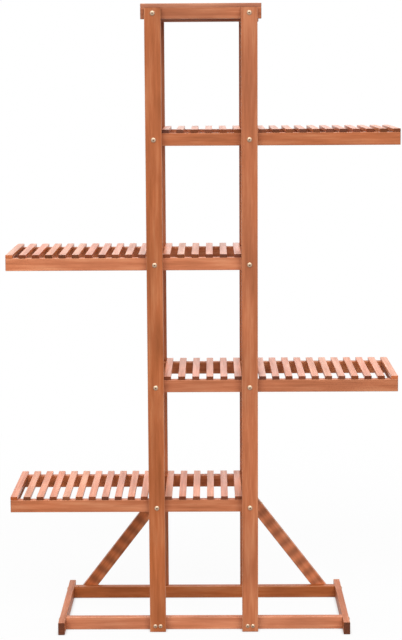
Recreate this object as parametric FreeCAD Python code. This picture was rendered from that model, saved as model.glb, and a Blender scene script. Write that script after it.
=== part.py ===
import FreeCAD, Part
import math
import os

# A slatted timber plant stand: four posts, four shelves that reach out to the left and to the
# right by turns, a small boarded deck on top, and a base of two runners with braces at the rear.
# Lengths are in millimetres. X points to the right, Y to the rear and Z up.
# The origin is on the floor, midway between the four posts.

Vector = FreeCAD.Vector
right = Vector(1, 0, 0)
rearward = Vector(0, 1, 0)
up = Vector(0, 0, 1)
down = Vector(0, 0, -1)

# Posts and levels
post_span = 219.0            # outer side to outer side of a pair of posts
post_depth = 220.0           # front face of the front posts to the back face of the rear posts
post_width = 32.0
post_thickness = 15.0
shelf_count = 4
shelf_spacing = 246.0        # floor to the lowest shelf, from shelf to shelf, and on to the deck

# Rails, slats and the deck
rail_height = 25.0
rail_thickness = 13.0
shelf_length = 499.0
slat_width = 14.0
slat_thickness = 7.0
slat_gap = 12.2              # aimed at between neighbouring slats
slat_post_gap = 3.0          # between a post and the slat beside its outer side
end_rail_height = 13.0       # under the outermost slat, from the front rail to the rear one
deck_rail_height = 22.0
deck_thickness = 8.0
deck_overhang = 8.0          # past the posts at each end
deck_board_count = 5
deck_board_gap = 10.0
edge_round = 0.8             # on the long edges of all timber

# Base
runner_span = 589.0          # outer side to outer side of the two runners
runner_overhang = 15.0       # past the posts, in front and behind
brace_width = 25.0
brace_rise = 223.0           # floor to where the brace's upper edge meets the post
brace_toe_gap = 1.0          # between the brace's toe and the runner
brace_seat_depth = 14.0      # timber under the head of the screw into the post

# Socket-head bolts and the threaded inserts that take them
bolt_diameter = 5.0
bolt_head_diameter = 9.5
bolt_head_height = 2.8
bolt_head_rim = 0.8
bolt_tip_chamfer = 0.8
socket_width = 3.0           # across the flats of the hexagon
socket_depth = 1.6
insert_diameter = 8.0
bolt_clearance = 0.5         # on the diameter of a hole that a bolt or screw passes through
fit_clearance = 0.1          # on the diameter where a fastener holds

# Cross-head wood screws
screw_diameter = 4.0
screw_head_diameter = 8.0
screw_head_height = 2.6
screw_head_rim = 0.7
screw_tip_length = 5.0
cross_length = 4.4
cross_width = 0.9
cross_depth = 1.4
base_screw_spacing = 10.5    # between the two screws in the foot of a post
runner_screw_spacing = 12.0  # between the two screws in the end of a base rail
runner_screw_bite = 24.0
post_screw_bite = 20.0
fastener_cover = 3.0         # timber left beyond the tip of a fastener

# Small countersunk screws that hold the deck's bearers
bearer_screw_diameter = 2.6
bearer_screw_head_diameter = 5.0
bearer_screw_head_height = 1.6
bearer_screw_bite = 18.0

# Brads
brad_diameter = 1.4
brad_head_diameter = 2.4
brad_head_height = 0.8
brad_tip_length = 1.6
brad_cover = 2.0             # timber left between a brad and the insert below it

overrun = 2.0                # of cutting shapes past the faces that they cut
parallel_share = 0.99        # of a full match, for edges that run along the grain

# Places that follow from the sizes
post_side = post_span / 2
post_inner = post_side - post_width
post_line = post_side - post_width / 2
post_face = post_depth / 2
rail_face = post_face - post_thickness
rail_line = rail_face - rail_thickness / 2
rail_back = rail_face - rail_thickness
shelf_levels = [shelf_spacing * (shelf + 1) for shelf in range(shelf_count)]
deck_level = shelf_levels[-1] + shelf_spacing
post_height = deck_level + deck_rail_height
deck_side = post_side + deck_overhang
runner_inner = runner_span / 2 - rail_thickness
runner_reach = post_face + runner_overhang
insert_length = rail_thickness - fastener_cover
brad_bite = (rail_height - insert_diameter) / 2 - brad_cover
deck_brad_bite = (deck_rail_height - insert_diameter) / 2 - brad_cover
rail_middle = rail_height / 2
deck_rail_middle = deck_rail_height / 2


# Timber

def eased(block, grain):
    # Rounds the long edges, those that run along the grain
    long_edges = []
    for edge in block.Edges:
        if abs(edge.tangentAt(edge.FirstParameter).dot(grain)) > parallel_share:
            long_edges.append(edge)
    return block.makeFillet(edge_round, long_edges)


def timber(low, high, grain):
    size = high - low
    return eased(Part.makeBox(size.x, size.y, size.z, low), grain)


def drilled(block, holes):
    return block.cut(Part.makeCompound(holes))


def span(sign, inner, outer):
    # The low and the high end of a stretch on the negative or the positive side
    return min(sign * inner, sign * outer), max(sign * inner, sign * outer)


def spread(first, last, pitch):
    # Evenly spaced places from first to last, about one pitch apart
    steps = max(round((last - first) / pitch), 1)
    return [first + (last - first) * step / steps for step in range(steps + 1)]


# Fasteners, each made on the Z axis with its seat at the origin and its point upwards

def turned(edges):
    return Part.Face(Part.Wire(edges)).revolve(Vector(), up, 360)


def domed(head_diameter, head_height, head_rim, shank):
    # A domed head below the seat, and above it a shank with the given outline
    radius = head_diameter / 2
    sag = head_height - head_rim
    sphere = (radius ** 2 + sag ** 2) / (2 * sag)
    half_angle = math.asin(radius / sphere) / 2
    top = Vector(0, 0, -head_height)
    middle = top + Vector(sphere * math.sin(half_angle), 0, sphere * (1 - math.cos(half_angle)))
    rim = Vector(radius, 0, -head_rim)
    dome = Part.Arc(top, middle, rim).toShape()
    outline = Part.makePolygon([rim, Vector(radius, 0, 0)] + shank + [top])
    return turned([dome] + outline.Edges)


def make_bolt():
    radius = bolt_diameter / 2
    length = post_thickness + insert_length
    shank = [
        Vector(radius, 0, 0),
        Vector(radius, 0, length - bolt_tip_chamfer),
        Vector(radius - bolt_tip_chamfer, 0, length),
        Vector(0, 0, length),
    ]
    bolt = domed(bolt_head_diameter, bolt_head_height, bolt_head_rim, shank)
    corner = socket_width / math.sqrt(3)
    low = -bolt_head_height - overrun
    corners = []
    for turn in range(7):
        angle = math.radians(60 * turn)
        corners.append(Vector(corner * math.cos(angle), corner * math.sin(angle), low))
    socket = Part.Face(Part.makePolygon(corners)).extrude(up * (socket_depth + overrun))
    return bolt.cut(socket)


def make_insert():
    outer = Part.makeCylinder((insert_diameter - fit_clearance) / 2, insert_length)
    bore = Part.makeCylinder((bolt_diameter + fit_clearance) / 2, insert_length)
    return outer.cut(bore)


def make_screw(length):
    radius = screw_diameter / 2
    shank = [Vector(radius, 0, 0), Vector(radius, 0, length - screw_tip_length), Vector(0, 0, length)]
    screw = domed(screw_head_diameter, screw_head_height, screw_head_rim, shank)
    low = -screw_head_height - overrun
    depth = cross_depth + overrun
    slot = Part.makeBox(cross_length, cross_width, depth, Vector(-cross_length / 2, -cross_width / 2, low))
    other = Part.makeBox(cross_width, cross_length, depth, Vector(-cross_width / 2, -cross_length / 2, low))
    return screw.cut(slot.fuse(other))


def make_bearer_screw():
    # Its head is flush with the seat, so the posts can lie flat against the rails
    radius = bearer_screw_diameter / 2
    head = bearer_screw_head_diameter / 2
    length = rail_thickness + bearer_screw_bite
    points = [
        Vector(0, 0, 0),
        Vector(head, 0, 0),
        Vector(radius, 0, bearer_screw_head_height),
        Vector(radius, 0, length - bearer_screw_head_height),
        Vector(0, 0, length),
        Vector(0, 0, 0),
    ]
    return turned(Part.makePolygon(points).Edges)


def make_brad(length):
    radius = brad_diameter / 2
    head = brad_head_diameter / 2
    points = [
        Vector(0, 0, 0),
        Vector(head, 0, 0),
        Vector(head, 0, brad_head_height),
        Vector(radius, 0, brad_head_height),
        Vector(radius, 0, length - brad_tip_length),
        Vector(0, 0, length),
        Vector(0, 0, 0),
    ]
    return turned(Part.makePolygon(points).Edges)


def set_in(fastener, places):
    # One copy of the fastener at each place, which is a seat and the way that the point goes
    copies = []
    for seat, inward in places:
        copy = fastener.copy()
        copy.Placement = FreeCAD.Placement(seat, FreeCAD.Rotation(up, inward))
        copies.append(copy)
    return Part.makeCompound(copies)


def holes(places, diameter, depth, start=0):
    return [Part.makeCylinder(diameter / 2, depth, seat + inward * start, inward) for seat, inward in places]


def bearer_screw_holes():
    screw_hole = []
    for seat, inward in bearer_screw_places:
        head = (bearer_screw_head_diameter + fit_clearance) / 2
        shank = (bearer_screw_diameter + fit_clearance) / 2
        screw_hole.append(Part.makeCone(head, shank, bearer_screw_head_height, seat, inward))
    return screw_hole + holes(
        bearer_screw_places, bearer_screw_diameter + fit_clearance, rail_thickness + bearer_screw_bite)


def brad_holes(places, length):
    heads = holes(places, brad_head_diameter + fit_clearance, brad_head_height)
    return heads + holes(places, brad_diameter + fit_clearance, length)


# Where the fasteners go

def post_places(height, offsets):
    # On the outer faces of the four posts
    places = []
    for facing in (-1, 1):
        for hand in (-1, 1):
            for offset in offsets:
                seat = Vector(hand * post_line + offset, facing * post_face, height)
                places.append((seat, rearward * -facing))
    return places


def brace_slope():
    return math.atan2(brace_rise, runner_inner - brace_toe_gap - post_side)


def brace_middle(height):
    # How far the brace's middle line is from the stand's middle at a height
    toe = runner_inner - brace_toe_gap
    slope = brace_slope()
    return toe - height / math.tan(slope) - brace_width / math.sin(slope) / 2


bolt_places = {level: post_places(level + rail_middle, [0]) for level in shelf_levels}
bolt_places[deck_level] = post_places(deck_level + deck_rail_middle, [0])
base_screw_places = post_places(rail_middle, [-base_screw_spacing / 2, base_screw_spacing / 2])

runner_screw_places = []
brace_foot_places = []
brace_post_places = []
bearer_screw_places = []
brace_top_height = brace_rise - brace_width / math.cos(brace_slope()) / 2
for hand in (-1, 1):
    for facing in (-1, 1):
        for step in (-runner_screw_spacing / 2, runner_screw_spacing / 2):
            seat = Vector(hand * runner_span / 2, facing * rail_line, rail_middle + step)
            runner_screw_places.append((seat, right * -hand))
        low = deck_level + (deck_rail_height - insert_diameter) / 4
        bearer_screw_places.append((Vector(hand * post_line, facing * rail_face, low), rearward * -facing))
    foot = Vector(hand * brace_middle(rail_middle), rail_face + rail_thickness, rail_middle)
    brace_foot_places.append((foot, rearward * -1))
    top = Vector(hand * (post_side + brace_seat_depth), rail_face + rail_thickness / 2, brace_top_height)
    brace_post_places.append((top, right * -hand))

base_screw_length = post_thickness + rail_thickness - fastener_cover
runner_screw_length = rail_thickness + runner_screw_bite
brace_foot_length = 2 * rail_thickness - fastener_cover
brace_post_length = brace_seat_depth + post_screw_bite

through = bolt_diameter + bolt_clearance
grip = screw_diameter + fit_clearance


# Sub-parts

def post(hand, facing):
    x_low, x_high = span(hand, post_inner, post_side)
    y_low, y_high = span(facing, rail_face, post_face)
    block = timber(Vector(x_low, y_low, 0), Vector(x_high, y_high, post_height), up)
    tools = holes(base_screw_places, grip, base_screw_length)
    tools += holes(brace_post_places, grip, brace_post_length)
    for places in bolt_places.values():
        tools += holes(places, through, post_thickness + 2 * overrun, -overrun)
    return drilled(block, tools)


def cross_rail(facing, x_low, x_high, z_low, z_high):
    y_low, y_high = span(facing, rail_back, rail_face)
    return timber(Vector(x_low, y_low, z_low), Vector(x_high, y_high, z_high), right)


def insert_holes(level):
    return holes(bolt_places[level], insert_diameter, insert_length, post_thickness)


def insert_places(level):
    return [(seat + inward * post_thickness, inward) for seat, inward in bolt_places[level]]


def slat(middle, level):
    low = Vector(middle - slat_width / 2, -rail_face, level)
    high = Vector(middle + slat_width / 2, rail_face, level + slat_thickness)
    return timber(low, high, rearward)


def brad_places(middles, top):
    return [(Vector(x, facing * rail_line, top), down) for x in middles for facing in (-1, 1)]


def add_shelf(nodes, number, level, hand):
    # Two rails, one across their outer end and the slats on them; hand says to which side the shelf reaches
    end = shelf_length - post_side
    x_low, x_high = span(hand, -post_side, end)
    pitch = slat_width + slat_gap
    half = slat_width / 2
    outer = [hand * x for x in spread(post_side + slat_post_gap + half, end - half, pitch)]
    inner = [-post_line] + spread(half - post_inner, post_inner - half, pitch) + [post_line]
    rail_top = level + rail_height
    slat_top = rail_top + slat_thickness
    brad_length = slat_thickness + brad_bite
    brads = brad_places(outer + inner, slat_top)
    brad_tools = brad_holes(brads, brad_length)
    for facing, place in ((-1, "front"), (1, "rear")):
        rail = cross_rail(facing, x_low, x_high, level, rail_top)
        nodes[f"shelf_{number}_{place}_rail"] = drilled(rail, insert_holes(level) + brad_tools)
    end_low, end_high = span(hand, end - rail_thickness, end)
    low = Vector(end_low, -rail_back, rail_top - end_rail_height)
    high = Vector(end_high, rail_back, rail_top)
    nodes[f"shelf_{number}_end_rail"] = timber(low, high, rearward)
    for name, middles in (("outer", outer), ("inner", inner)):
        slats = []
        for middle in middles:
            tools = brad_holes(brad_places([middle], slat_top), brad_length)
            slats.append(drilled(slat(middle, rail_top), tools))
        nodes[f"shelf_{number}_{name}_slats"] = Part.makeCompound(slats)
    nodes[f"shelf_{number}_bolts"] = set_in(make_bolt(), bolt_places[level])
    nodes[f"shelf_{number}_inserts"] = set_in(make_insert(), insert_places(level))
    nodes[f"shelf_{number}_brads"] = set_in(make_brad(brad_length), brads)


def add_deck(nodes):
    # Two rails behind the posts, two bearers between them and the boards on top, flush with the rails
    board_width = (2 * rail_face - (deck_board_count - 1) * deck_board_gap) / deck_board_count
    deck_top = post_height + deck_thickness
    brad_length = deck_thickness + deck_brad_bite
    brads = []
    boards = []
    for board in range(deck_board_count):
        y_low = board * (board_width + deck_board_gap) - rail_face
        y_high = y_low + board_width
        low = Vector(-deck_side, y_low, post_height)
        high = Vector(deck_side, y_high, deck_top)
        boards.append(timber(low, high, right))
        line = (y_low + y_high) / 2
        if board in (0, deck_board_count - 1):
            line = math.copysign(rail_line, line)    # the outer boards are nailed to the rails
        brads += [(Vector(hand * post_line, line, deck_top), down) for hand in (-1, 1)]
    brad_tools = brad_holes(brads, brad_length)
    screw_tools = bearer_screw_holes()
    for facing, place in ((-1, "front"), (1, "rear")):
        rail = cross_rail(facing, -deck_side, deck_side, deck_level, post_height)
        nodes[f"top_{place}_rail"] = drilled(rail, insert_holes(deck_level) + brad_tools + screw_tools)
    for hand, place in ((-1, "left"), (1, "right")):
        low = Vector(hand * post_line - rail_thickness / 2, -rail_back, deck_level)
        high = Vector(hand * post_line + rail_thickness / 2, rail_back, post_height)
        nodes[f"top_{place}_bearer"] = drilled(timber(low, high, rearward), brad_tools + screw_tools)
    for number, board in enumerate(boards, 1):
        nodes[f"top_board_{number}"] = drilled(board, brad_tools)
    nodes["top_bolts"] = set_in(make_bolt(), bolt_places[deck_level])
    nodes["top_inserts"] = set_in(make_insert(), insert_places(deck_level))
    nodes["top_bearer_screws"] = set_in(make_bearer_screw(), bearer_screw_places)
    nodes["top_brads"] = set_in(make_brad(brad_length), brads)


def brace(hand):
    # A flat length on the slant in the plane of the rear posts, cut plumb at the post and level at the floor
    slope = brace_slope()
    toe = runner_inner - brace_toe_gap
    corners = [
        (post_side, brace_rise),
        (toe, 0),
        (toe - brace_width / math.sin(slope), 0),
        (post_side, brace_rise - brace_width / math.cos(slope)),
    ]
    corners.append(corners[0])
    outline = Part.makePolygon([Vector(hand * x, rail_face, z) for x, z in corners])
    grain = Vector(hand * math.cos(slope), 0, -math.sin(slope))
    block = eased(Part.Face(outline).extrude(rearward * rail_thickness), grain)
    tools = holes(brace_foot_places, grip, brace_foot_length)
    tools += holes(brace_post_places, grip, brace_post_length)
    tools += holes(brace_post_places, screw_head_diameter + bolt_clearance, brace_width, -brace_width)
    return drilled(block, tools)


def add_base(nodes):
    # Cross rails behind the feet of the posts, runners at their ends, and the rear braces
    tools = holes(runner_screw_places, grip, runner_screw_length)
    rail_tools = tools + holes(base_screw_places, grip, base_screw_length)
    rail_tools += holes(brace_foot_places, grip, brace_foot_length)
    for facing, place in ((-1, "front"), (1, "rear")):
        rail = cross_rail(facing, -runner_inner, runner_inner, 0, rail_height)
        nodes[f"{place}_base_rail"] = drilled(rail, rail_tools)
    for hand, place in ((-1, "left"), (1, "right")):
        x_low, x_high = span(hand, runner_inner, runner_span / 2)
        low = Vector(x_low, -runner_reach, 0)
        high = Vector(x_high, runner_reach, rail_height)
        nodes[f"{place}_runner"] = drilled(timber(low, high, rearward), tools)
        nodes[f"{place}_brace"] = brace(hand)
    nodes["base_screws"] = set_in(make_screw(base_screw_length), base_screw_places)
    nodes["runner_screws"] = set_in(make_screw(runner_screw_length), runner_screw_places)
    nodes["brace_foot_screws"] = set_in(make_screw(brace_foot_length), brace_foot_places)
    nodes["brace_post_screws"] = set_in(make_screw(brace_post_length), brace_post_places)


def build():
    nodes = {}
    for facing, front in ((-1, "front"), (1, "rear")):
        for hand, side in ((-1, "left"), (1, "right")):
            nodes[f"{front}_{side}_post"] = post(hand, facing)
    for shelf, level in enumerate(shelf_levels):
        add_shelf(nodes, shelf + 1, level, 1 if shelf % 2 else -1)
    add_deck(nodes)
    add_base(nodes)
    return nodes


os.makedirs("parts", exist_ok=True)
for name, shape in build().items():
    shape.exportStep(f"parts/{name}.step")
    print(name, len(shape.Solids), "solids, volume", round(shape.Volume), "valid", shape.isValid())
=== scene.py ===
import math
import random
import bpy
from mathutils import Euler, Matrix, Vector


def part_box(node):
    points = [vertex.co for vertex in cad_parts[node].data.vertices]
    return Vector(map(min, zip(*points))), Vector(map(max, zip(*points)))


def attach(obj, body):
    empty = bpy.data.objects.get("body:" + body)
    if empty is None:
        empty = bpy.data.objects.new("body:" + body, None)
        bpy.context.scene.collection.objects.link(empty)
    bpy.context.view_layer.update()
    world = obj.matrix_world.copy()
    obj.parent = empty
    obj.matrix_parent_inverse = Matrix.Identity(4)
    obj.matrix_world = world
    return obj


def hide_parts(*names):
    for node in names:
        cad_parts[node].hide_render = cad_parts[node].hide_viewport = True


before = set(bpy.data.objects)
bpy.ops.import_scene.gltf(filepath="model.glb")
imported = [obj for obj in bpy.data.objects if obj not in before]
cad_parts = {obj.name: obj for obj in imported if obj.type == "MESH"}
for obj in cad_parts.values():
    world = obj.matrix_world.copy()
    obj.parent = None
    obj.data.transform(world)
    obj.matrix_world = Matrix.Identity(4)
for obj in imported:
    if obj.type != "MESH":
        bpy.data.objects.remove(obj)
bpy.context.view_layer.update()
mm = 0.001
chance = random.Random(23)      # one seed, so every run draws the same timber
print("frame loaded:", len(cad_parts), "nodes")

xAxis, yAxis, zAxis = Vector((1, 0, 0)), Vector((0, 1, 0)), Vector((0, 0, 1))
sides = {"left": -1, "right": 1}
faces = ("front", "rear")
shelfReach = {1: "left", 2: "right", 3: "left", 4: "right"}   # counted from the floor up


# Colours and nodes
wavePeriod = math.pi / 10       # of Blender's wave texture at scale 1
noiseSpan = (0.3, 0.7)          # where nearly all of a noise texture's values lie


def hexColour(code):
    # sRGB hex to the linear colour that a shader takes
    parts = [int(code[i:i + 2], 16) / 255 for i in (1, 3, 5)]
    return [p / 12.92 if p <= 0.04045 else ((p + 0.055) / 1.055) ** 2.4 for p in parts] + [1]


def addNode(tree, kind, feeds=None, ramp=None, **settings):
    # feeds gives a socket a value or another node's output, ramp is a list of places and colours
    node = tree.nodes.new(kind)
    for name, value in settings.items():
        setattr(node, name, value)
    for socket, value in (feeds or {}).items():
        if isinstance(value, bpy.types.NodeSocket):
            tree.links.new(value, node.inputs[socket])
        else:
            node.inputs[socket].default_value = value
    if ramp:
        stops = node.color_ramp.elements
        for place, code in ramp[1:-1]:
            stops.new(place)
        stops[0].position, stops[-1].position = ramp[0][0], ramp[-1][0]
        for stop, (place, code) in zip(stops, ramp):
            stop.color = hexColour(code)
    return node


def newMaterial(name):
    material = bpy.data.materials.new(name)
    material.use_nodes = True
    material.node_tree.nodes.clear()
    return material, material.node_tree


# Fir, planed, stained red-brown and finished with a satin lacquer. The eye gets straight streaks along the
# length where the stain took unevenly, thin darker latewood lines, arrises sanded a little paler, and a
# white sheen on faces seen at a low angle.
firFace = {
    "ringSpacing": 4.4,         # mm between growth rings
    "ringStretch": 0.10,        # rings wander slowly along the length
    "ringWander": 9.0,
    "ringDetail": (2.0, 0.35),  # amount and scale
    "streakWidth": 10.0,        # mm across the grain; real pores are finer than the render can show
    "streakStretch": 0.08,
    "streakDetail": (4.0, 0.6),     # amount and roughness
    "cloudSize": 55.0,          # mm across the grain, uneven stain
    "cloudStretch": 0.4,
    "cloudDetail": 2.0,
    "cloudDepth": 0.10,         # lightness added or taken away
    "streaks": [(0.28, "#9e5831"), (0.50, "#b76941"), (0.72, "#c98158")],
    "latewood": "#8f4b25",
    "latewoodStart": 0.55,      # share of each ring before its dark line begins
    "latewoodShare": 0.18,
    "sanded": "#dba17e",
    "sandedShare": 0.5,
    "roughness": (0.26, 0.38),  # as lacquered, which the slats keep
    "rubbed": 0.18,             # added on the frame, which is rubbed down duller
    "sheen": 1.35,              # refractive index of the thin lacquer
    "bumpHeight": 0.25,         # mm
    "bumpStrength": 0.5,
}


def stainedFir(look):
    # Reads what drawGrain and drawCrossBands write on each piece
    material, tree = newMaterial("stainedFir")
    grain = addNode(tree, "ShaderNodeAttribute", attribute_name="grain").outputs["Vector"]
    tint = addNode(tree, "ShaderNodeAttribute", attribute_name="tint").outputs["Vector"]
    finishAndPaintedLight = addNode(tree, "ShaderNodeAttribute", attribute_name="finishAndPaintedLight").outputs["Vector"]
    eased = addNode(tree, "ShaderNodeAttribute", attribute_name="eased").outputs["Fac"]
    bands = addNode(tree, "ShaderNodeAttribute", attribute_name="bands").outputs["Vector"]
    tints = addNode(tree, "ShaderNodeSeparateXYZ", {0: tint}).outputs
    finishAndPaintedLightParts = addNode(tree, "ShaderNodeSeparateXYZ", {0: finishAndPaintedLight}).outputs
    bandParts = addNode(tree, "ShaderNodeSeparateXYZ", {0: bands}).outputs

    # Rings, streaks and clouds, each drawn out along the grain
    ringPlace = addNode(tree, "ShaderNodeVectorMath", {0: grain, 1: (look["ringStretch"], 1, 1)},
                        operation="MULTIPLY").outputs[0]
    rings = addNode(tree, "ShaderNodeTexWave", {
        "Vector": ringPlace, "Scale": wavePeriod / (look["ringSpacing"] * mm),
        "Distortion": look["ringWander"], "Detail": look["ringDetail"][0],
        "Detail Scale": look["ringDetail"][1]},
        wave_type="RINGS", rings_direction="X", wave_profile="SAW").outputs["Fac"]
    latewood = addNode(tree, "ShaderNodeMapRange", {
        "Value": rings, "From Min": look["latewoodStart"], "From Max": 1.0, "To Min": 0.0,
        "To Max": look["latewoodShare"]}).outputs[0]
    streakPlace = addNode(tree, "ShaderNodeVectorMath", {0: grain, 1: (look["streakStretch"], 1, 1)},
                          operation="MULTIPLY").outputs[0]
    streaks = addNode(tree, "ShaderNodeTexNoise", {
        "Vector": streakPlace, "Scale": 1 / (look["streakWidth"] * mm), "Detail": look["streakDetail"][0],
        "Roughness": look["streakDetail"][1]}).outputs[0]
    cloudPlace = addNode(tree, "ShaderNodeVectorMath", {0: grain, 1: (look["cloudStretch"], 1, 1)},
                         operation="MULTIPLY").outputs[0]
    clouds = addNode(tree, "ShaderNodeTexNoise", {
        "Vector": cloudPlace, "Scale": 1 / (look["cloudSize"] * mm),
        "Detail": look["cloudDetail"]}).outputs[0]

    # Colour: streaks, latewood lines, then the piece's tone, partly painted light and shade, with its clouds
    # and bands, and sanded arrises
    stain = addNode(tree, "ShaderNodeValToRGB", {0: streaks}, ramp=look["streaks"]).outputs[0]
    lined = addNode(tree, "ShaderNodeMix", {0: latewood, 6: stain, 7: hexColour(look["latewood"])},
                    data_type="RGBA").outputs[2]
    cloudValue = addNode(tree, "ShaderNodeMapRange", {
        "Value": clouds, "From Min": noiseSpan[0], "From Max": noiseSpan[1], "To Min": -look["cloudDepth"],
        "To Max": look["cloudDepth"]}).outputs[0]
    value = addNode(tree, "ShaderNodeMath", {0: tints["X"], 1: cloudValue}, operation="ADD").outputs[0]
    # Painted light and shade: the lightness a piece adds on its faces, paler slats and darker end rails
    value = addNode(tree, "ShaderNodeMath", {0: value, 1: finishAndPaintedLightParts["X"]}, operation="ADD").outputs[0]
    bandWave = addNode(tree, "ShaderNodeMath", {0: bandParts["X"]}, operation="COSINE").outputs[0]
    value = addNode(tree, "ShaderNodeMath", {0: bandWave, 1: bandParts["Y"], 2: value},
                    operation="MULTIPLY_ADD").outputs[0]
    toned = addNode(tree, "ShaderNodeHueSaturation", {
        "Hue": tints["Y"], "Saturation": tints["Z"], "Value": value, "Color": lined}).outputs[0]
    worn = addNode(tree, "ShaderNodeMath", {0: eased, 1: streaks}, operation="MULTIPLY").outputs[0]
    colour = addNode(tree, "ShaderNodeMix", {0: worn, 6: toned, 7: hexColour(look["sanded"])},
                     data_type="RGBA").outputs[2]

    # Surface: dark streaks are duller, and the grain stands up a little
    rough = addNode(tree, "ShaderNodeMapRange", {
        "Value": streaks, "From Min": noiseSpan[0], "From Max": noiseSpan[1], "To Min": look["roughness"][1],
        "To Max": look["roughness"][0]}).outputs[0]
    rough = addNode(tree, "ShaderNodeMath", {0: rough, 1: finishAndPaintedLightParts["Y"]}, operation="ADD").outputs[0]
    relief = addNode(tree, "ShaderNodeMath", {0: streaks, 1: latewood}, operation="SUBTRACT").outputs[0]
    bump = addNode(tree, "ShaderNodeBump", {
        "Strength": look["bumpStrength"], "Distance": look["bumpHeight"] * mm, "Height": relief}).outputs[0]
    shader = addNode(tree, "ShaderNodeBsdfPrincipled", {
        "Base Color": colour, "Roughness": rough, "IOR": look["sheen"], "Normal": bump})
    addNode(tree, "ShaderNodeOutputMaterial", {"Surface": shader.outputs[0]})
    return material


# The sawn ends of the same timber drink more stain: dark, dull, with the rings cut across.
firEnd = {
    "ringSpacing": 3.0,         # mm between growth rings
    "ringWander": 2.0,
    "ringDetailScale": 0.4,
    "poreSize": 0.9,            # mm
    "poreDetail": 2.0,
    "pores": [(0.30, "#5b2a13"), (0.52, "#793c1f"), (0.72, "#965230")],
    "latewood": "#52250d",
    "latewoodStart": 0.5,
    "latewoodShare": 0.6,
    "thirst": (0.58, 1.20),     # ends differ more in tone than faces do
    "roughness": 0.62,
    "sheen": 1.35,              # refractive index, as on the faces
    "bumpHeight": 0.2,          # mm
    "bumpStrength": 0.4,
}
# Where each batten was cut from its log, and how far its stain strays
cutting = {
    "fromHeart": (22, 70),      # mm
    "upTheLog": (0, 6),         # m
    "lightness": (0.93, 1.07),
    "saturation": (0.94, 1.06),
    "hue": (0.496, 0.504),      # 0.5 leaves the hue as it is
}


def stainedFirEnd(look):
    material, tree = newMaterial("stainedFirEndGrain")
    grain = addNode(tree, "ShaderNodeAttribute", attribute_name="grain").outputs["Vector"]
    tint = addNode(tree, "ShaderNodeAttribute", attribute_name="tint").outputs["Vector"]
    finishAndPaintedLight = addNode(tree, "ShaderNodeAttribute", attribute_name="finishAndPaintedLight").outputs["Vector"]
    tints = addNode(tree, "ShaderNodeSeparateXYZ", {0: tint}).outputs
    finishAndPaintedLightParts = addNode(tree, "ShaderNodeSeparateXYZ", {0: finishAndPaintedLight}).outputs
    rings = addNode(tree, "ShaderNodeTexWave", {
        "Vector": grain, "Scale": wavePeriod / (look["ringSpacing"] * mm), "Distortion": look["ringWander"],
        "Detail Scale": look["ringDetailScale"]},
        wave_type="RINGS", rings_direction="X", wave_profile="SAW").outputs["Fac"]
    latewood = addNode(tree, "ShaderNodeMapRange", {
        "Value": rings, "From Min": look["latewoodStart"], "From Max": 1.0, "To Min": 0.0,
        "To Max": look["latewoodShare"]}).outputs[0]
    pores = addNode(tree, "ShaderNodeTexNoise", {
        "Vector": grain, "Scale": 1 / (look["poreSize"] * mm), "Detail": look["poreDetail"]}).outputs[0]
    stain = addNode(tree, "ShaderNodeValToRGB", {0: pores}, ramp=look["pores"]).outputs[0]
    lined = addNode(tree, "ShaderNodeMix", {0: latewood, 6: stain, 7: hexColour(look["latewood"])},
                    data_type="RGBA").outputs[2]
    value = addNode(tree, "ShaderNodeMapRange", {
        "Value": tints["X"], "From Min": cutting["lightness"][0], "From Max": cutting["lightness"][1],
        "To Min": look["thirst"][0], "To Max": look["thirst"][1]}).outputs[0]
    value = addNode(tree, "ShaderNodeMath", {0: value, 1: finishAndPaintedLightParts["Z"]}, operation="ADD").outputs[0]
    toned = addNode(tree, "ShaderNodeHueSaturation", {
        "Hue": tints["Y"], "Saturation": tints["Z"], "Value": value, "Color": lined}).outputs[0]
    bump = addNode(tree, "ShaderNodeBump", {
        "Strength": look["bumpStrength"], "Distance": look["bumpHeight"] * mm, "Height": pores}).outputs[0]
    shader = addNode(tree, "ShaderNodeBsdfPrincipled", {
        "Base Color": toned, "Roughness": look["roughness"], "IOR": look["sheen"], "Normal": bump})
    addNode(tree, "ShaderNodeOutputMaterial", {"Surface": shader.outputs[0]})
    return material


# Yellowish zinc on steel: pale warm metal, faintly cloudy, with a soft shine, and painted shade in the
# sockets and where a head meets the timber. Sizes in mm.
zincLook = {"cloudSize": 1.8, "clouds": [(0.3, "#a89079"), (0.7, "#c4ab94")], "cloudDetail": 3.0,
            "roughness": (0.48, 0.60),
            "paintedShade": "#5c4434", "paintedShadeReach": 3.0, "paintedShadeRange": (0.40, 0.95), "paintedShadeSamples": 8}
# Turned brass: warm yellow metal with fine tool marks, and painted shade in its hollows. Sizes in mm.
brassLook = {"cloudSize": 1.2, "clouds": [(0.3, "#b98f45"), (0.7, "#d9b46a")], "cloudDetail": 3.0,
             "roughness": (0.28, 0.44),
             "paintedShade": "#4a3418", "paintedShadeReach": 2.0, "paintedShadeRange": (0.3, 0.8), "paintedShadeSamples": 8}


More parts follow.
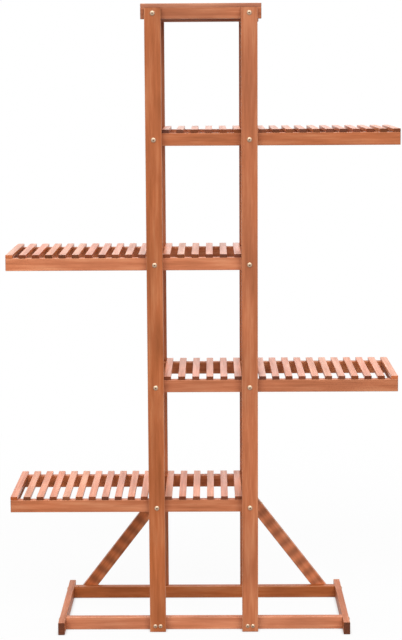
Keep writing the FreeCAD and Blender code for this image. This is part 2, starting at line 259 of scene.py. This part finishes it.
def platedMetal(name, look):
    material, tree = newMaterial(name)
    place = addNode(tree, "ShaderNodeTexCoord").outputs["Object"]
    clouds = addNode(tree, "ShaderNodeTexNoise", {
        "Vector": place, "Scale": 1 / (look["cloudSize"] * mm), "Detail": look["cloudDetail"]}).outputs[0]
    plating = addNode(tree, "ShaderNodeValToRGB", {0: clouds}, ramp=look["clouds"]).outputs[0]
    # Painted shade: the colour darkens towards a dark brown where ambient occlusion finds a hollow or the
    # timber close by
    exposed = addNode(tree, "ShaderNodeAmbientOcclusion", {"Distance": look["paintedShadeReach"] * mm},
                      samples=look["paintedShadeSamples"]).outputs["AO"]
    unshaded = addNode(tree, "ShaderNodeMapRange", {
        "Value": exposed, "From Min": look["paintedShadeRange"][0], "From Max": look["paintedShadeRange"][1]}).outputs[0]
    colour = addNode(tree, "ShaderNodeMix", {0: unshaded, 6: hexColour(look["paintedShade"]), 7: plating},
                     data_type="RGBA").outputs[2]
    rough = addNode(tree, "ShaderNodeMapRange", {
        "Value": clouds, "From Min": noiseSpan[0], "From Max": noiseSpan[1], "To Min": look["roughness"][0],
        "To Max": look["roughness"][1]}).outputs[0]
    shader = addNode(tree, "ShaderNodeBsdfPrincipled", {
        "Base Color": colour, "Metallic": 1.0, "Roughness": rough})
    addNode(tree, "ShaderNodeOutputMaterial", {"Surface": shader.outputs[0]})
    return material


firMaterial = stainedFir(firFace)
firEndMaterial = stainedFirEnd(firEnd)
zincMaterial = platedMetal("zincPlatedSteel", zincLook)
brassMaterial = platedMetal("turnedBrass", brassLook)
print("materials made")


# Timber: a cube at the batten's size, its arrises eased, its holes drilled, then copied to its places
shop = {
    "arrisSteps": 3,
    "bitSides": 16,
    "drillOver": 1.0,           # mm that a bit starts outside the timber, or comes out behind it
    "sameWay": 0.99,            # two directions closer than this count as one
    "sandedWidth": 1.2,         # of an arris, how far in from an edge a face counts as sanded
}
drillOver = shop["drillOver"] * mm


def pickOnly(piece):
    bpy.ops.object.select_all(action="DESELECT")
    piece.select_set(True)
    bpy.context.view_layer.objects.active = piece


def editWhere(piece, kind, test):
    # Opens the piece in edit mode with just those edges or faces selected
    pickOnly(piece)
    bpy.ops.object.mode_set(mode="EDIT")
    bpy.ops.mesh.select_mode(type=kind)
    bpy.ops.mesh.select_all(action="DESELECT")
    bpy.ops.object.mode_set(mode="OBJECT")
    for element in (piece.data.edges if kind == "EDGE" else piece.data.polygons):
        element.select = test(element)
    bpy.ops.object.mode_set(mode="EDIT")


def sawBatten(name, size, turn=(0, 0, 0)):
    bpy.ops.object.select_all(action="DESELECT")
    bpy.ops.mesh.primitive_cube_add(size=1, location=(0, 0, 0))
    piece = bpy.context.object
    piece.name = piece.data.name = name
    piece.scale, piece.rotation_euler = size, turn
    bpy.ops.object.transform_apply(location=True, rotation=True, scale=True)
    piece.data.materials.append(firMaterial)
    piece.data.materials.append(firEndMaterial)
    print("sawn:", name, [round(s / mm, 1) for s in size])
    return piece


def isEnd(face, grain):
    return abs(face.normal.dot(grain)) > 0.5


def easeArrises(piece, grain, easing):
    # The long edges are rounded, the edges round the two ends only broken
    corners = piece.data.vertices

    def isLong(edge):
        way = corners[edge.vertices[1]].co - corners[edge.vertices[0]].co
        return abs(way.normalized().dot(grain)) > shop["sameWay"]

    editWhere(piece, "EDGE", isLong)
    bpy.ops.mesh.bevel(offset=easing["arris"] * mm, segments=shop["arrisSteps"], affect="EDGES")
    bpy.ops.object.mode_set(mode="OBJECT")
    editWhere(piece, "FACE", lambda face: isEnd(face, grain))
    bpy.ops.mesh.bevel(offset=easing["end"] * mm, segments=1, affect="EDGES")
    bpy.ops.object.mode_set(mode="OBJECT")


def drill(piece, holes):
    # Each hole is a seat on the surface, the way in, a diameter and a depth
    bits = []
    for seat, way, diameter, depth in holes:
        bpy.ops.object.select_all(action="DESELECT")
        bpy.ops.mesh.primitive_cylinder_add(
            vertices=shop["bitSides"], radius=diameter / 2, depth=depth + drillOver,
            location=seat + way * (depth - drillOver) / 2, rotation=way.to_track_quat("Z", "Y").to_euler())
        bits.append(bpy.context.object)
    if len(bits) > 1:
        for bit in bits:
            bit.select_set(True)
        bpy.ops.object.join()
    cutter = bpy.context.object
    pickOnly(piece)
    bpy.ops.object.modifier_add(type="BOOLEAN")
    cut = piece.modifiers[-1]
    cut.operation, cut.solver, cut.object = "DIFFERENCE", "EXACT", cutter
    bpy.ops.object.modifier_apply(modifier=cut.name)
    bpy.data.objects.remove(cutter)


def placeCopy(master, name, place, turn=(0, 0, 0)):
    copy = master.copy()
    copy.data = master.data.copy()
    bpy.context.scene.collection.objects.link(copy)
    copy.name = copy.data.name = name
    copy.location, copy.rotation_euler = place, [math.radians(t) for t in turn]
    pickOnly(copy)
    bpy.ops.object.transform_apply(location=True, rotation=True, scale=True)
    return copy


# Lightness and saturation of the larger timbers: how strongly the stain took, and on the rear posts and rear
# rails also painted shade, set darker for the shade they stand in
stainAndShadeTones = {
    "frontLeftPost": (0.83, 1.03), "frontRightPost": (0.90, 0.99),
    "rearLeftPost": (0.70, 1.0), "rearRightPost": (0.76, 1.0),
    "topFrontRail": (0.88, 0.98), "topRearRail": (0.72, 0.90), "topBoard1": (0.88, 0.91),
    "shelf4FrontRail": (0.92, 1.01), "shelf3FrontRail": (1.14, 0.97),
    "shelf2FrontRail": (0.95, 0.97), "shelf1FrontRail": (0.95, 0.98),
    "frontBaseRail": (1.10, 0.95), "rearBaseRail": (0.78, 1.05),
    "leftBrace": (0.97, 1.02), "rightBrace": (1.0, 0.97),
    "leftRunner": (0.95, 1.0), "rightRunner": (0.93, 1.0),
}


def drawGrain(piece, grain, easing, paleEnds=0):
    # Gives each batten its own stretch of timber, its tone, and its finish with painted light: lightness
    # added on the faces, which on the slats is painted light and on the end rails painted shade, roughness
    # added on the faces, and lightness added on the ends
    mesh = piece.data
    across = xAxis if abs(grain.y) > 0.9 else yAxis
    ways = (grain, across, grain.cross(across))
    spots = [v.co for v in mesh.vertices]
    spans = [(min(s.dot(d) for s in spots), max(s.dot(d) for s in spots)) for d in ways]
    angle = chance.uniform(0, 2 * math.pi)
    fromHeart = chance.uniform(*cutting["fromHeart"]) * mm
    start = (chance.uniform(*cutting["upTheLog"]), math.cos(angle) * fromHeart, math.sin(angle) * fromHeart)
    light = chance.uniform(*cutting["lightness"])
    strong = chance.uniform(*cutting["saturation"])
    hue = chance.uniform(*cutting["hue"])
    # listed tones; those of the rear posts and rear rails are partly painted shade
    if piece.name in stainAndShadeTones:
        light, strong = stainAndShadeTones[piece.name]
        hue = 0.5
    names = ("grain", "tint", "finishAndPaintedLight")
    for name in names:
        mesh.attributes.new(name, "FLOAT_VECTOR", "POINT")
    place, tint, finishAndPaintedLight = [mesh.attributes[name].data for name in names]
    for i, spot in enumerate(spots):
        place[i].vector = [spot.dot(d) - sum(s) / 2 + o for d, s, o in zip(ways, spans, start)]
        tint[i].vector = (light, hue, strong)
        finishAndPaintedLight[i].vector = (easing.get("paler", 0), easing.get("rubbed", firFace["rubbed"]), paleEnds)
    eased = mesh.attributes.new("eased", "FLOAT", "FACE").data
    near = shop["sandedWidth"] * easing["arris"] * mm
    for i, face in enumerate(mesh.polygons):
        atEdge = [min(face.center.dot(d) - s[0], s[1] - face.center.dot(d)) < near
                  for d, s in zip(ways[1:], spans[1:])]
        isFlat = max(abs(face.normal.dot(d)) for d in ways) >= shop["sameWay"]
        eased[i].value = firFace["sandedShare"] if all(atEdge) and not isFlat else 0.0
        face.material_index = 1 if isEnd(face, grain) else 0


def fitTimber(piece, node):
    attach(piece, "root")
    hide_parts(node)


def middleOf(node):
    low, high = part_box(node)
    return (low + high) / 2


def sizeOf(node):
    low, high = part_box(node)
    return high - low


def fitCopy(master, name, node, grain, easing, turn=(0, 0, 0)):
    # A copy of the batten in the node's place, with grain of its own
    piece = placeCopy(master, name, middleOf(node), turn)
    drawGrain(piece, grain, easing)
    fitTimber(piece, node)


# Posts: four alike, five bolt holes and two screw holes through each. Sizes in mm, here and below.
postTimber = {"arris": 1.0, "end": 0.5, "boltHole": 5.5, "screwHole": 4.1, "screwSpacing": 10.5}

postSize, postMiddle = sizeOf("front_left_post"), middleOf("front_left_post")
post = sawBatten("post", postSize)
easeArrises(post, zAxis, postTimber)
postFace, throughPost = -postSize.y / 2, postSize.y + drillOver
postHoles = []
for fasteners in [f"shelf_{n}_bolts" for n in shelfReach] + ["top_bolts"]:
    seat = Vector((0, postFace, middleOf(fasteners).z - postMiddle.z))
    postHoles.append((seat, yAxis, postTimber["boltHole"] * mm, throughPost))
for step in (-0.5, 0.5):
    screwX = step * postTimber["screwSpacing"] * mm
    seat = Vector((screwX, postFace, middleOf("base_screws").z - postMiddle.z))
    postHoles.append((seat, yAxis, postTimber["screwHole"] * mm, throughPost))
drill(post, postHoles)
for face in faces:
    for side in sides:
        fitCopy(post, face + side.title() + "Post", f"{face}_{side}_post", zAxis, postTimber)
bpy.data.objects.remove(post)
postLine = middleOf("front_right_post").x
print("posts placed")


# Shelves: rails bored for the threaded inserts, and slats with two nail holes each
railTimber = {"arris": 0.9, "end": 0.5, "insertHole": 8.0, "insertDepth": 10.0}
slatTimber = {
    "width": 14.0, "arris": 0.9, "end": 0.4, "nailHead": 2.5, "nailDepth": 0.8,
    "outerCount": 11,
    "innerCount": 6,            # between the posts, and one more behind each post
    "paler": 0.19, "rubbed": 0,     # painted light: slats set paler to stand in for the light on their tops, and they shine more
    "outermostEnds": {1: 1.3, 2: 1.7, 3: 2.2, 4: 0.2},     # lightness added on the last slat's ends, by shelf
}
railTurns = {("right", "front"): (0, 0, 0), ("right", "rear"): (180, 0, 0),
             ("left", "front"): (0, 180, 0), ("left", "rear"): (0, 0, 180)}

railSize, railMiddle = sizeOf("shelf_2_front_rail"), middleOf("shelf_2_front_rail")
rail = sawBatten("rail", railSize)
easeArrises(rail, xAxis, railTimber)
drill(rail, [(Vector((x - railMiddle.x, -railSize.y / 2, 0)), yAxis, railTimber["insertHole"] * mm,
              railTimber["insertDepth"] * mm) for x in (-postLine, postLine)])

slatSize = sizeOf("shelf_1_outer_slats")
slatSize.x = slatTimber["width"] * mm
slat = sawBatten("slat", slatSize)
easeArrises(slat, yAxis, slatTimber)
nailLine = abs(railMiddle.y)
drill(slat, [(Vector((0, y, slatSize.z / 2)), -zAxis, slatTimber["nailHead"] * mm,
              slatTimber["nailDepth"] * mm) for y in (-nailLine, nailLine)])

for number, reach in shelfReach.items():
    for face in faces:
        fitCopy(rail, f"shelf{number}{face.title()}Rail", f"shelf_{number}_{face}_rail", xAxis, railTimber,
                railTurns[reach, face])
    for group in ("outer", "inner"):
        node = f"shelf_{number}_{group}_slats"
        low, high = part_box(node)
        if group == "inner":
            edge = postLine - postSize.x / 2
            low.x, high.x = -edge, edge
        count = slatTimber[group + "Count"]
        first, last = low.x + slatSize.x / 2, high.x - slatSize.x / 2
        lines = [first + (last - first) * i / (count - 1) for i in range(count)]
        if group == "inner":
            lines = [-postLine] + lines + [postLine]
        slats = []
        for i, x in enumerate(lines):
            copy = placeCopy(slat, f"slat{i}", (x, 0, (low.z + high.z) / 2))
            isOutermost = group == "outer" and x == max(lines, key=abs)
            drawGrain(copy, yAxis, slatTimber, slatTimber["outermostEnds"][number] if isOutermost else 0)
            slats.append(copy)
        pickOnly(slats[0])
        for copy in slats:
            copy.select_set(True)
        bpy.ops.object.join()
        slats[0].name = slats[0].data.name = f"shelf{number}{group.title()}Slats"
        fitTimber(slats[0], node)
    print("shelf", number, "laid, reaches", reach)
for master in (rail, slat):
    bpy.data.objects.remove(master)


# Deck: two rails, two bearers between them and five boards
deckTimber = {"arris": 0.9, "end": 0.5, "insertHole": 8.0, "insertDepth": 10.0, "nailHead": 2.5,
              "nailDepth": 0.8, "boardCount": 5}
deckRailTurns = {"front": (0, 0, 0), "rear": (0, 0, 180)}

deckRailSize = sizeOf("top_front_rail")
deckRail = sawBatten("deckRail", deckRailSize)
easeArrises(deckRail, xAxis, deckTimber)
drill(deckRail, [(Vector((x, -deckRailSize.y / 2, 0)), yAxis, deckTimber["insertHole"] * mm,
                  deckTimber["insertDepth"] * mm) for x in (-postLine, postLine)])
for face in faces:
    fitCopy(deckRail, f"top{face.title()}Rail", f"top_{face}_rail", xAxis, deckTimber, deckRailTurns[face])

bearer = sawBatten("bearer", sizeOf("top_left_bearer"))
easeArrises(bearer, yAxis, deckTimber)
for side in sides:
    fitCopy(bearer, f"top{side.title()}Bearer", f"top_{side}_bearer", yAxis, deckTimber)

board = sawBatten("board", sizeOf("top_board_3"))
easeArrises(board, xAxis, deckTimber)
for number in range(1, deckTimber["boardCount"] + 1):
    node = f"top_board_{number}"
    middle, top = middleOf(node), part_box(node)[1].z
    piece = placeCopy(board, f"topBoard{number}", middle)
    nailY = middle.y
    if number in (1, deckTimber["boardCount"]):     # the outer boards are nailed to the rails
        nailY = math.copysign(nailLine, nailY)
    drill(piece, [(Vector((x, nailY, top)), -zAxis, deckTimber["nailHead"] * mm,
                   deckTimber["nailDepth"] * mm) for x in (-postLine, postLine)])
    drawGrain(piece, xAxis, deckTimber)
    fitTimber(piece, node)
for master in (deckRail, bearer, board):
    bpy.data.objects.remove(master)
print("deck laid")


# Base: two cross rails, two runners and the slanting braces behind
baseTimber = {"arris": 0.9, "end": 0.5, "screwHole": 4.1, "screwRise": 6.0}     # above and below the middle
braceTimber = {
    "arris": 0.9, "end": 0.4, "width": 25.0, "spare": 120.0, "screwHole": 4.1, "footScrewHeight": 12.5,
    "pocket": 8.5, "pocketSeat": 14.0,
    "bandSpacing": 27.5, "bandStrength": 0.25, "firstBand": {"left": 46.0, "right": 54.0},
}


def drawCrossBands(piece, start, grain, first, look):
    # Pale cross bands in the colour, evenly spaced along the piece: where each point is in the wave, and how
    # strong the wave is
    bands = piece.data.attributes.new("bands", "FLOAT_VECTOR", "POINT")
    for i, corner in enumerate(piece.data.vertices):
        along = (corner.co - start).dot(grain) / mm
        turns = (along - first) / look["bandSpacing"]
        bands.data[i].vector = (2 * math.pi * turns, look["bandStrength"], 0)


baseRail = sawBatten("baseRail", sizeOf("front_base_rail"))
easeArrises(baseRail, xAxis, baseTimber)
for face in faces:
    fitCopy(baseRail, f"{face}BaseRail", f"{face}_base_rail", xAxis, baseTimber)

runnerSize = sizeOf("right_runner")
runner = sawBatten("runner", runnerSize)
easeArrises(runner, yAxis, baseTimber)
screwRise = baseTimber["screwRise"] * mm
runnerHoles = []
for y in (-nailLine, nailLine):
    for z in (-screwRise, screwRise):
        seat = Vector((runnerSize.x / 2, y, z))
        runnerHoles.append((seat, -xAxis, baseTimber["screwHole"] * mm, runnerSize.x + drillOver))
drill(runner, runnerHoles)
for side in sides:
    fitCopy(runner, f"{side}Runner", f"{side}_runner", yAxis, baseTimber)

# The brace starts as a batten that is too long, is turned to its slope and sawn off at the post and floor
braceLow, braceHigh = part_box("right_brace")
braceRun, braceRise = braceHigh.x - braceLow.x, braceHigh.z - braceLow.z
slope = math.atan2(braceRise, braceRun)
braceGrain = Vector((math.cos(slope), 0, -math.sin(slope)))
braceWidth = braceTimber["width"] * mm
braceLength = math.hypot(braceRun, braceRise) + braceTimber["spare"] * mm
braceSize = Vector((braceLength, braceHigh.y - braceLow.y, braceWidth))
brace = sawBatten("brace", braceSize, (0, slope, 0))
easeArrises(brace, braceGrain, braceTimber)
upperEdge = (braceLow + braceHigh) / 2          # the upper edge runs corner to corner of the brace's box
inward = Vector((-math.sin(slope), 0, -math.cos(slope))) * braceWidth / 2
brace.location = upperEdge + inward
pickOnly(brace)
bpy.ops.object.transform_apply(location=True, rotation=False, scale=False)
for cutWay in (-xAxis, -zAxis):
    bpy.ops.object.mode_set(mode="EDIT")
    bpy.ops.mesh.select_all(action="SELECT")
    bpy.ops.mesh.bisect(plane_co=braceLow, plane_no=cutWay, use_fill=True, clear_outer=True)
    bpy.ops.object.mode_set(mode="OBJECT")

# One screw hole near the foot, from behind, and a pocket near the top for the screw into the post
footZ = braceTimber["footScrewHeight"] * mm
footX = braceHigh.x - footZ / math.tan(slope) - braceWidth / math.sin(slope) / 2
topZ = braceHigh.z - braceWidth / math.cos(slope) / 2
pocketX = braceLow.x + braceTimber["pocketSeat"] * mm
middleY = (braceLow.y + braceHigh.y) / 2
footSeat = Vector((footX, braceHigh.y, footZ))
pocketMouth = Vector((pocketX + braceWidth, middleY, topZ))
drill(brace, [(footSeat, -yAxis, braceTimber["screwHole"] * mm, braceSize.y + drillOver)])
drill(brace, [(pocketMouth, -xAxis, braceTimber["pocket"] * mm, braceWidth)])

aboutMiddle = Vector((0, 2 * middleY, 0))        # the left brace is the right one turned half round
for side, place, turn in (("right", (0, 0, 0), (0, 0, 0)), ("left", aboutMiddle, (0, 0, 180))):
    piece = placeCopy(brace, f"{side}Brace", place, turn)
    grain = Vector((sides[side] * braceGrain.x, 0, braceGrain.z))
    drawGrain(piece, grain, braceTimber)
    top = Vector((sides[side] * braceLow.x, 0, braceHigh.z))
    drawCrossBands(piece, top, grain, braceTimber["firstBand"][side], braceTimber)
    fitTimber(piece, f"{side}_brace")
for master in (baseRail, runner, brace):
    bpy.data.objects.remove(master)
print("base put together")


# End rails: one under the outermost slat of each shelf, between the front and rear rails
endTimber = {"arris": 0.9, "end": 0.4, "paler": -0.40, "rubbed": 0.5}      # left rough, and set darker as painted shade, for the slats' shadow on it

endRail = sawBatten("endRail", sizeOf("shelf_1_end_rail"))
easeArrises(endRail, yAxis, endTimber)
for number in shelfReach:
    fitCopy(endRail, f"shelf{number}EndRail", f"shelf_{number}_end_rail", yAxis, endTimber)
bpy.data.objects.remove(endRail)
print("shelf ends closed")


# Fasteners keep their CAD shapes and get their metal
for name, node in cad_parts.items():
    metal = None
    if name.endswith("inserts"):
        metal = brassMaterial
    elif name.endswith(("bolts", "screws", "brads")):
        metal = zincMaterial
    if metal:
        node.data.materials.clear()
        node.data.materials.append(metal)
print("fasteners plated")


def seenDirectly(tree):
    # 1 for what the camera sees straight, in a reflection or through something clear, 0 for light on the part
    rays = addNode(tree, "ShaderNodeLightPath").outputs
    seen = addNode(tree, "ShaderNodeMath", {0: rays["Is Camera Ray"], 1: rays["Is Glossy Ray"]},
                   operation="MAXIMUM").outputs[0]
    return addNode(tree, "ShaderNodeMath", {0: seen, 1: rays["Is Transmission Ray"]},
                   operation="MAXIMUM").outputs[0]


# White studio floor: a faint shadow close to the stand, plain white further out
floorLook = {
    "radius": 5.0, "corners": 96,
    "seen": "#cccccc", "bounce": "#868584",
    "shadowShare": 0.05,
    "shadowReach": (0.55, 1.6),     # m from the middle, where the shadow starts to fade and is gone
    "contactReach": 6.0,            # mm, the dark line where the stand meets the floor
    "contactSamples": 16,
}

bpy.ops.object.select_all(action="DESELECT")
bpy.ops.mesh.primitive_circle_add(vertices=floorLook["corners"], radius=floorLook["radius"], fill_type="NGON",
                                  location=(0, 0, 0))
floor = bpy.context.object
floor.name = "studioFloor"
floorMaterial, tree = newMaterial("whiteFloor")
seen = seenDirectly(tree)
spot = addNode(tree, "ShaderNodeTexCoord").outputs["Object"]
away = addNode(tree, "ShaderNodeVectorMath", {0: spot}, operation="LENGTH").outputs["Value"]
white = addNode(tree, "ShaderNodeMapRange", {
    "Value": away, "From Min": floorLook["shadowReach"][0], "From Max": floorLook["shadowReach"][1],
    "To Min": 1 - floorLook["shadowShare"], "To Max": 1.0}, interpolation_type="SMOOTHSTEP").outputs[0]
contact = addNode(tree, "ShaderNodeAmbientOcclusion", {"Distance": floorLook["contactReach"] * mm},
                  samples=floorLook["contactSamples"]).outputs["AO"]
white = addNode(tree, "ShaderNodeMath", {0: white, 1: contact}, operation="MULTIPLY").outputs[0]
share = addNode(tree, "ShaderNodeMath", {0: seen, 1: white}, operation="MULTIPLY").outputs[0]
paint = addNode(tree, "ShaderNodeMix", {
    0: seen, 6: hexColour(floorLook["bounce"]), 7: hexColour(floorLook["seen"])}, data_type="RGBA").outputs[2]
matt = addNode(tree, "ShaderNodeBsdfDiffuse", {"Color": paint}).outputs[0]
glow = addNode(tree, "ShaderNodeEmission", {"Color": (1, 1, 1, 1), "Strength": 1.0}).outputs[0]
mixed = addNode(tree, "ShaderNodeMixShader", {0: share, 1: matt, 2: glow}).outputs[0]
addNode(tree, "ShaderNodeOutputMaterial", {"Surface": mixed})
floor.data.materials.append(floorMaterial)

# White all round for the camera and for reflections, a quieter fill for the timber itself
roomLight = {"fill": 0.20, "seen": 1.0}
world = bpy.data.worlds.new("whiteRoom")
bpy.context.scene.world = world
world.use_nodes = True
tree = world.node_tree
tree.nodes.clear()
seen = seenDirectly(tree)
fill = addNode(tree, "ShaderNodeBackground", {
    "Color": (1, 1, 1, 1), "Strength": roomLight["fill"]}).outputs[0]
white = addNode(tree, "ShaderNodeBackground", {
    "Color": (1, 1, 1, 1), "Strength": roomLight["seen"]}).outputs[0]
mixed = addNode(tree, "ShaderNodeMixShader", {0: seen, 1: fill, 2: white}).outputs[0]
addNode(tree, "ShaderNodeOutputWorld", {"Surface": mixed})

# Two soft lamps high up, left and right of the front, broad ones in front and behind, and a low one behind
# on each side. Widths in degrees.
lamps = {
    "leftLamp": {"from": (-0.45, -0.75, 1), "width": 30.0, "strength": 1.5},
    "rightLamp": {"from": (0.45, -0.75, 1), "width": 30.0, "strength": 1.5},
    "frontLamp": {"from": (0, -1, 0.50), "width": 90.0, "strength": 1.3},
    "rearLamp": {"from": (0, 1, 0.80), "width": 60.0, "strength": 0.75},
    "rearLeftLamp": {"from": (-1, 1, 0.25), "width": 40.0, "strength": 0.6},
    "rearRightLamp": {"from": (1, 1, 0.25), "width": 40.0, "strength": 0.6},
}
lampDistance = 3                # m, only to find the lamps in the viewport
for name, look in lamps.items():
    lamp = bpy.data.lights.new(name, "SUN")
    lamp.energy, lamp.angle = look["strength"], math.radians(look["width"])
    holder = bpy.data.objects.new(name, lamp)
    bpy.context.scene.collection.objects.link(holder)
    way = Vector(look["from"])
    facing = way.to_track_quat("Z", "Y").to_matrix().to_4x4()
    holder.matrix_world = Matrix.Translation(way * lampDistance) @ facing
print("lights hung")


# Camera: stands a little right of the middle, just under the deck's height, looking slightly down
cameraView = {"place": (18.6, -2928.0, 1132.2), "pitch": 6.722, "yaw": -0.417, "roll": -0.324,
              "lens": 81.33, "sensor": 36, "shiftY": -0.125}
lensData = bpy.data.cameras.new("camera")
lensData.lens, lensData.sensor_width = cameraView["lens"], cameraView["sensor"]
lensData.shift_y = cameraView["shiftY"]
camera = bpy.data.objects.new("camera", lensData)
bpy.context.scene.collection.objects.link(camera)
heading = Euler((math.radians(90 - cameraView["pitch"]), 0, math.radians(-cameraView["yaw"]))).to_matrix()
tilt = Matrix.Rotation(math.radians(cameraView["roll"]), 3, "Z")
camera.matrix_world = Matrix.Translation(Vector(cameraView["place"]) * mm) @ (heading @ tilt).to_4x4()
bpy.context.scene.camera = camera
bpy.context.scene.view_settings.view_transform = "Standard"

print("scene ready")
